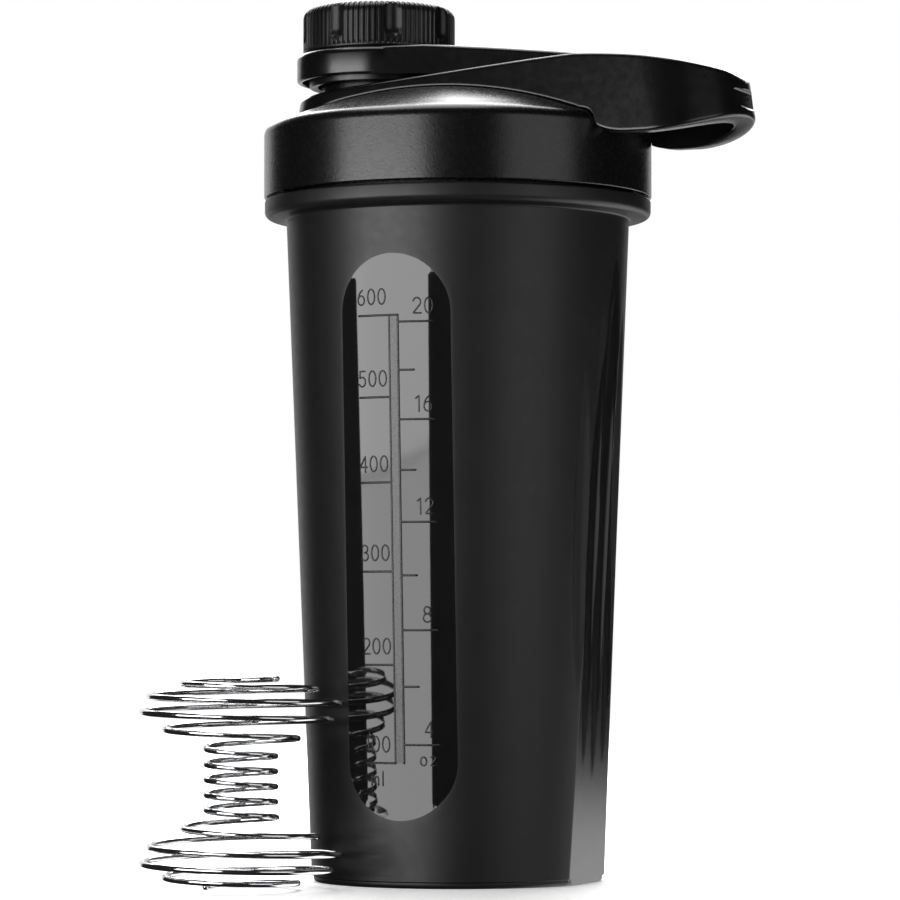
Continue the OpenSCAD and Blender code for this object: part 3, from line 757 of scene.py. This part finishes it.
def loop_plan():
    """Matching outer and inner points of the loop from above, the whole way round."""
    in_half = LOOP_HALF - RAIL_T
    boss = BOSS_R + SEAT_GAP
    corner_x = SPOUT_X + 8 + CORNER_R
    meet = math.degrees(math.acos(8 / boss))
    corner = ellipse(0, CORNER_R, CORNER_R, 90, 180, 14) + (corner_x, in_half - CORNER_R)
    outer = [line_x(LOOP_BEND, corner_x, LOOP_HALF, 110),
             line_x(corner_x, corner_x - 6.4, LOOP_HALF, 14),
             line_x(corner_x - 6.4, SPOUT_X, LOOP_HALF, 16)]
    inner = [line_x(LOOP_IN_BEND, corner_x, in_half, 110), corner, ellipse(SPOUT_X, boss, boss, meet, 90, 16)]
    outer_rail, inner_rail = np.concatenate(outer), np.concatenate(inner)
    tip_out = ellipse(LOOP_BEND, LOOP_REACH - LOOP_BEND, LOOP_HALF, -90, 90, 130)
    tip_in = ellipse(LOOP_IN_BEND, LOOP_REACH - TIP_T - LOOP_IN_BEND, in_half, -90, 90, 130)
    end_out = ellipse(SPOUT_X, RING_R, RING_R, 90, 270, 90)
    end_in = ellipse(SPOUT_X, boss, boss, 90, 270, 90)
    back = slice(None, 0, -1)
    return (np.concatenate([tip_out, outer_rail, end_out, [(SPOUT_X, -RING_R)], outer_rail[back] * (1, -1)]),
            np.concatenate([tip_in, inner_rail, end_in, [(SPOUT_X, -boss)], inner_rail[back] * (1, -1)]))


def loop_top(x):
    line = bend((SPOUT_X - RING_R - 1, PLATE_Z), (CREST_X - 20, CREST_Z - 1), (CREST_X, CREST_Z), 40) \
        + bend((CREST_X, CREST_Z), (CREST_X + 18, CREST_Z - 0.6), (FALL_X, FALL_Z), 30)[1:] \
        + bend((FALL_X, FALL_Z), (LOOP_REACH + 1, FALL_Z - 1), (LOOP_REACH + 1.1, FALL_Z - 6), 20)[1:]
    return np.interp(x, *np.array(line).T)


def loop_foot(x, y):
    """Underside of the loop: just clear of the lid, then its own curve beyond it."""
    line = bend((LID_R - 5, ROOT_LOW + 2.2), (LID_R - 2.5, ROOT_LOW + 0.2), (LID_R + 2.5, ROOT_LOW), 16) \
        + bend((LID_R + 8, ROOT_LOW), (LOOP_REACH - 10, ROOT_LOW + 0.6), (LOOP_REACH + 1, TIP_LOW), 24)
    own = np.where(x < LID_R - 5, 0, np.interp(x, *np.array(line).T))
    return np.maximum(own, lid_top_at(np.hypot(x, y)) + SEAT_GAP)


def make_loop():
    outer, inner = loop_plan()
    width = np.linalg.norm(outer - inner, axis=1)
    corners = [(1, False, arc(0, 0, LOOP_EDGE, -90, 0, 4) + [(LOOP_EDGE, 0.3)]),
               (1, True, [(LOOP_EDGE, -0.3)] + arc(0, 0, LOOP_EDGE, 0, 90, 5)),
               (0, True, arc(0, 0, LOOP_EDGE, 90, 180, 5)), (0, False, arc(0, 0, LOOP_EDGE, 180, 270, 4))]
    rows = []
    for side, high, points in corners:
        for across, up in points:
            inset = across - LOOP_EDGE if side else across + LOOP_EDGE
            xy = (outer if side else inner) + (outer - inner) / width[:, None] * inset
            z = loop_top(xy[:, 0]) - LOOP_EDGE + up if high else loop_foot(*xy.T) + LOOP_EDGE + up
            if side:
                xy = xy - (outer - inner) / width[:, None] * ((z - LEAN_Z) * LEAN)[:, None]
            rows.append(np.c_[xy, z])
    piece = solid("carry_loop", np.array(rows), ring=True)
    slot_edge = 1.2
    outline = [(y, z) for y, z in arc(SLOT_W / 2 - slot_edge, slot_edge, slot_edge, -90, 0, 5)
               + arc(SLOT_W / 2 - slot_edge, SLOT_H - slot_edge, slot_edge, 0, 90, 5)
               + arc(slot_edge - SLOT_W / 2, SLOT_H - slot_edge, slot_edge, 90, 180, 5)
               + arc(slot_edge - SLOT_W / 2, slot_edge, slot_edge, 180, 270, 5)]
    flare = [(LOOP_REACH - SLOT_D, -0.35), (LOOP_REACH - SLOT_D + 0.35, 0), (LOOP_REACH - 0.9, 0),
             (LOOP_REACH + 0.2, 0.8), (LOOP_REACH + 1.5, 1.6)]
    slot = [[(x, y + math.copysign(grow, y), SLOT_Z + z + (grow if z > SLOT_H / 2 else -grow))
             for y, z in outline] for x, grow in flare]
    boolean(piece, solid("slot", np.array(slot), ends=True))
    pin = cylinder("pin_hole", PIN_R + 0.03, pin_lo.y - 0.2, pin_hi.y + 0.2)
    pin.data.transform(turned_to_y())
    boolean(piece, pin)
    finish_piece(piece, PLASTIC["handle"], "lid", ["carry_handle"], 35)


# ---------- hinge pin and cap arm

def turned_to_y():
    """Turns a piece made about Z to lie about the hinge's axis."""
    return Matrix.Translation((HINGE_X * MM, 0, HINGE_Z * MM)) @ Matrix.Rotation(math.radians(-90), 4, "X")


def make_pin():
    chamfer = 0.25
    outline = [(0, pin_lo.y), (PIN_R - chamfer, pin_lo.y), (PIN_R, pin_lo.y + chamfer),
               (PIN_R, pin_hi.y - chamfer), (PIN_R - chamfer, pin_hi.y), (0, pin_hi.y)]
    pin = solid("hinge_rod", revolve(refine(outline, 2), round_angles(64)))
    pin.data.transform(turned_to_y())
    finish_piece(pin, LOOK["steel"], "lid", ["hinge_pin"], 30)


def arm_block(name, inset, drop, low, x_end, edge):
    """The arm's block between the ring and the hinge, with its sides inset and its top lowered."""
    top = [(SPOUT_X - 1, RING_TOP), (SPOUT_X + RING_R - 2, RING_TOP)] \
        + bend((SPOUT_X + RING_R - 2, RING_TOP), (HINGE_X - 30, RING_TOP - 1),
               (HINGE_X, HINGE_Z + BARREL_R), 30)[1:]
    foot = [(SPOUT_X - 1, RING_Z), (HINGE_X - 14, RING_Z - 1.2), (HINGE_X, HINGE_Z - BARREL_R + 0.6)]
    neck_x = SPOUT_X + RING_R + 6
    rows = []
    for x in np.linspace(SPOUT_X, x_end, 60):
        half = np.interp(x, (SPOUT_X, neck_x - 3, neck_x + 3), (RING_R, ARM_HALF + 0.5, ARM_HALF)) - inset
        z1 = np.interp(x, *np.array(top).T) - drop
        z0 = np.interp(x, *np.array(foot).T) if low is None else low
        brow = half - LEAN * (z1 - edge - z0) if low is None else half
        section = [(half, z0)] + arc(brow - edge, z1 - edge, edge, 0, 90, 6) \
            + arc(edge - brow, z1 - edge, edge, 90, 180, 6) + [(-half, z0)]
        rows.append([(x, y, z) for y, z in section])
    return solid(name, np.array(rows), ends=True)


def make_arm():
    piece = arm_block("tether_arm", 0, 0, None, HINGE_X, 1.1)
    boolean(piece, arm_block("hollow", ARM_SIDE, ARM_T, RING_Z - 10, HINGE_X - BARREL_R - 2, 0.6))
    socket = cylinder("socket", RING_R - RING_SKIN / 2, RING_Z - 10, RING_TOP + 10, 180)
    socket.data.transform(Matrix.Translation((SPOUT_X * MM, 0, 0)))
    boolean(piece, socket)
    outline = [(RING_IN + 0.4, RING_TOP - ARM_T), (RING_R - RING_SKIN, RING_TOP - ARM_T)] \
        + arc(RING_R - RING_SKIN + 0.3, RING_Z + 0.3, 0.3, 180, 270, 3) \
        + arc(RING_R - 0.7, RING_Z + 0.7, 0.7, -90, 0, 5) \
        + arc(RING_R - 1.8, RING_TOP - 1.8, 1.8, 0, 90, 10) \
        + arc(RING_IN + 0.4, RING_TOP - 0.4, 0.4, 90, 180, 4) + [(RING_IN, RING_TOP - ARM_T + 0.4)]
    ring = solid("ring", revolve(outline, round_angles(240)) + (SPOUT_X, 0, 0), ring=True)
    boolean(piece, ring, "UNION")
    barrel = cylinder("barrel", BARREL_R, -ARM_HALF, ARM_HALF)
    barrel.data.transform(turned_to_y())
    boolean(piece, barrel, "UNION")
    bore = cylinder("bore", PIN_R + 0.06, -RING_R, RING_R, 64)
    bore.data.transform(turned_to_y())
    boolean(piece, bore)
    finish_piece(piece, PLASTIC["arm"], "arm", ["cap_arm"], 35)


# ---------- spout cap and its seal

SCOOP_BALL = (SCOOP_W ** 2 / 4 + SCOOP_D ** 2) / (2 * SCOOP_D)
RIB_COLUMNS = 10


def cap_outside(r, z, angle):
    """The ribs and the thumb scoops, cut into the cap's outline."""
    rib = wrap(angle * RIBS) / RIBS * math.radians(1) * CAP_R
    fade = np.clip((z - CAP_Z - 0.5) / 0.5, 0, 1) * np.clip((r - CAP_R + CAP_EDGE * 0.75) / 0.8, 0, 1)
    groove = np.clip(np.exp(-(rib / 0.34) ** 4), 0, 1)
    cut = np.where(z > CAP_Z, r - RIB_D * fade * groove, r)
    step = 360 / SCOOPS
    turn = np.radians((angle - SCOOP_START + step / 2) % step - step / 2)
    centre = CAP_R - SCOOP_D + SCOOP_BALL
    below = np.minimum(z - SCOOP_FOOT - SCOOP_W / 2, 0)
    across = SCOOP_BALL ** 2 - below ** 2 - (centre * np.sin(turn)) ** 2
    scoop = np.where(across > 0, centre * np.cos(turn) - np.sqrt(np.maximum(across, 0)), FAR)
    return np.where(z > CAP_Z, np.minimum(cut, scoop), cut)


def make_cap():
    angles = round_angles(RIBS * RIB_COLUMNS)
    outline = [(CAP_ROOT, SKIRT_Z + 0.3)] + arc(SKIRT_R - 0.4, SKIRT_Z + 0.4, 0.4, -100, 0, 4) \
        + arc(RING_IN + 0.1, RING_TOP - ARM_T - 0.9, 0.5, -80, 80, 6) \
        + [(SKIRT_R, RING_TOP - ARM_T - 0.2), (SKIRT_R, CAP_Z)] + [(CAP_R - 0.8, CAP_Z)] \
        + arc(CAP_R - 0.4, CAP_Z + 0.4, 0.4, -70, 0, 4) \
        + refine([(CAP_R, CAP_Z + 0.5), (CAP_R, CAP_TOP - CAP_EDGE)], 0.35) \
        + arc(CAP_R - CAP_EDGE, CAP_TOP - CAP_EDGE, CAP_EDGE, 0, 90, 16)[1:] \
        + refine([(CAP_R - CAP_EDGE - 1, CAP_TOP), (0, CAP_TOP)], 4)
    inside = [(0, CAP_CEILING), (CAP_ROOT - 0.5, CAP_CEILING), (CAP_ROOT, CAP_CEILING - 0.5)] \
        + refine([(CAP_ROOT, CAP_CEILING - 0.6), (CAP_ROOT, SKIRT_Z + 0.4)], 0.3)
    on_wall = lambda r, z, a: r - np.where(np.abs(r - CAP_ROOT) < 0.01,
                                           CAP_RIDGE * thread(z, a, 0, **SPOUT_THREAD), 0)
    grid = np.concatenate([revolve(inside, angles, on_wall), revolve(outline, angles, cap_outside)])
    finish_piece(solid("ribbed_cap", grid + (SPOUT_X, 0, 0)), PLASTIC["cap"], "cap",
                 ["spout_cap"], 40)


def make_seal():
    """A disc under the cap's ceiling with a hollow plug that fits the bore."""
    plug_r = BORE_R - 0.9
    land = SPOUT_R + 0.8
    crest = CAP_ROOT - CAP_RIDGE
    disc_z = seal_hi.z - 1.5
    outline = [(0, disc_z), (plug_r - 2, disc_z), (plug_r - 2, seal_lo.z + 0.3)] \
        + arc(plug_r - 1, seal_lo.z + 0.5, 0.5, 200, 340, 6) \
        + [(plug_r, seal_lo.z + 2), (plug_r, SPOUT_TOP + 0.1)] \
        + arc(land - 0.3, SPOUT_TOP + 0.4, 0.3, -90, 0, 3) + [(land, disc_z)] \
        + arc(crest - 0.3, seal_hi.z - 1.2, 0.3, -90, 0, 3) \
        + arc(crest - 0.3, seal_hi.z - 0.3, 0.3, 0, 90, 3) + [(0, seal_hi.z)]
    piece = solid("seal_disc", revolve(refine(outline, 1.5), round_angles(160)) + (SPOUT_X, 0, 0))
    finish_piece(piece, LOOK["silicone"], "cap", ["cap_seal"])


# ---------- whisk

def whisk_point(u):
    """Middle of the wire after u turns from its lower end."""
    turns = 2 * CAGE_TURNS + WAIST_TURNS
    tall = WHISK_H - WIRE_D
    cage = tall * CAGE_SHARE
    from_end = min(u, turns - u)
    if from_end < CAGE_TURNS:
        share = from_end / CAGE_TURNS
        r = WAIST_R + (CAGE_R - WAIST_R) * math.sin(math.pi * share)
        rise = cage * share ** COIL_CROWD
        z = rise if u < turns / 2 else tall - rise
    else:
        r = WAIST_R
        z = cage + (tall - 2 * cage) * (u - CAGE_TURNS) / WAIST_TURNS
    a = math.radians(WHISK_START - 360 * u)
    return WHISK_X + r * math.cos(a), WHISK_Y + r * math.sin(a), z + WIRE_D / 2


def make_whisk():
    turns = 2 * CAGE_TURNS + WAIST_TURNS
    path = [whisk_point(u) for u in np.linspace(0, turns, round(turns * 64) + 1)]
    piece = solid("wire_whisk", tube(path, WIRE_D / 2, 14, (0, 0, 1)))
    finish_piece(piece, LOOK["steel"], "whisk", ["whisk"], 60)


# ---------- lights, floor and camera

CAMERA_AZ = 22.3
CAMERA_DISTANCE = 1.037
CAMERA_HEIGHT = 0.0616
CAMERA_LENS = 165.4
AIM_RIGHT = -0.00196
AIM_HEIGHT = 0.1077


def stage_point(azimuth, distance, height):
    """The point at an angle round from the camera's side, positive to the left seen from there."""
    a = math.radians(CAMERA_AZ - azimuth)
    return Vector((math.sin(a) * distance, -math.cos(a) * distance, height))


def aim(thing, place, target):
    thing.location = place
    thing.rotation_mode = "QUATERNION"
    thing.rotation_quaternion = (target - place).to_track_quat("-Z", "Y")


def softbox(name, azimuth, distance, height, width, tall, radiance, target=Vector((0, 0, 0.1))):
    """A rectangular light, in metres, of even radiance that faces the target."""
    light = bpy.data.lights.new(name, "AREA")
    light.shape = "RECTANGLE"
    light.size = width
    light.size_y = tall
    light.energy = radiance * math.pi * width * tall
    lamp = bpy.data.objects.new(name, light)
    bpy.context.scene.collection.objects.link(lamp)
    lamp.visible_camera = False
    aim(lamp, stage_point(azimuth, distance, height), target)


def make_world():
    """White to the camera, and a dim even studio to everything else."""
    world = bpy.data.worlds.new("studio")
    world.use_nodes = True
    bpy.context.scene.world = world
    nodes, links = world.node_tree.nodes, world.node_tree.links
    seen, room = nodes["Background"], nodes.new("ShaderNodeBackground")
    seen.inputs["Color"].default_value = (1, 1, 1, 1)
    seen.inputs["Strength"].default_value = 1.0
    room.inputs["Color"].default_value = (1, 1, 1, 1)
    room.inputs["Strength"].default_value = 0.02
    mix, path = nodes.new("ShaderNodeMixShader"), nodes.new("ShaderNodeLightPath")
    links.new(path.outputs["Is Camera Ray"], mix.inputs["Fac"])
    links.new(room.outputs["Background"], mix.inputs[1])
    links.new(seen.outputs["Background"], mix.inputs[2])
    links.new(mix.outputs["Shader"], nodes["World Output"].inputs["Surface"])


def make_floor():
    half = 3000.0
    mesh = bpy.data.meshes.new("floor")
    corners = ((-1, -1), (1, -1), (1, 1), (-1, 1))
    mesh.from_pydata([(x * half * MM, y * half * MM, 0) for x, y in corners], [], [(0, 1, 2, 3)])
    floor = bpy.data.objects.new("floor", mesh)
    bpy.context.scene.collection.objects.link(floor)
    s = Shader("floor_painted_glow", Roughness=0.55)
    s.tint(s.noise(60, 2), (0.86, 0.86, 0.86), (0.88, 0.88, 0.88))
    # Painted light: the floor glows by its own emission. The glow is weak (0.35) within 0.12 m of the bottle,
    # so the lamps' contact shadow still shows there. It rises to full (1.0) past 0.6 m, so the far floor is
    # painted bright enough to melt into the white backdrop.
    s.skin.inputs["Emission Color"].default_value = (1, 1, 1, 1)
    x, y = s.axes()[:2]
    away = s.math("SQRT", s.math("ADD", s.math("POWER", x, 2.0), s.math("POWER", y, 2.0)))
    s.links.new(s.ranged(away, 0.12, 0.6, 0.35, 1.0, soft=True), s.skin.inputs["Emission Strength"])
    mesh.materials.append(s.material)
    floor.visible_glossy = False


def make_lights():
    """Each softbox: azimuth from the camera in degrees, distance, height, width and tallness in
    metres, and radiance."""
    softbox("key_left", 45.5, 1.0, 0.2, 0.98, 0.26, 6.8)
    softbox("key_low", 45.5, 1.0, -0.04, 0.98, 0.22, 5.4)
    softbox("fill_right", -48, 1.2, 0.2, 0.95, 0.7, 1.15)
    softbox("rim_right", -168, 1.1, 0.36, 0.6, 1.0, 0.8)
    softbox("rim_left", 161, 1.1, 0.3, 0.7, 1.0, 1.0)
    softbox("back_high", 180, 1.2, 0.9, 1.2, 0.7, 6.0)
    softbox("back_top", 180, 0.7, 1.25, 1.2, 0.8, 5.0)
    softbox("top", 100, 0.15, 1.1, 0.7, 0.7, 4.0)
    softbox("under_right", -120, 0.5, -0.25, 0.8, 0.6, 1.6, Vector((0.06, 0, 0.19)))


def make_camera():
    camera = bpy.data.objects.new("camera", bpy.data.cameras.new("camera"))
    bpy.context.scene.collection.objects.link(camera)
    a = math.radians(CAMERA_AZ)
    target = Vector((math.cos(a) * AIM_RIGHT, math.sin(a) * AIM_RIGHT, AIM_HEIGHT))
    aim(camera, stage_point(0, CAMERA_DISTANCE, CAMERA_HEIGHT), target)
    camera.data.lens = CAMERA_LENS
    camera.data.clip_end = 20
    bpy.context.scene.camera = camera


make_cup()
make_scale()
make_lid()
make_gasket()
make_loop()
make_pin()
make_arm()
make_cap()
make_seal()
make_whisk()
make_world()
make_floor()
make_lights()
make_camera()
bpy.context.scene.view_settings.view_transform = "Standard"
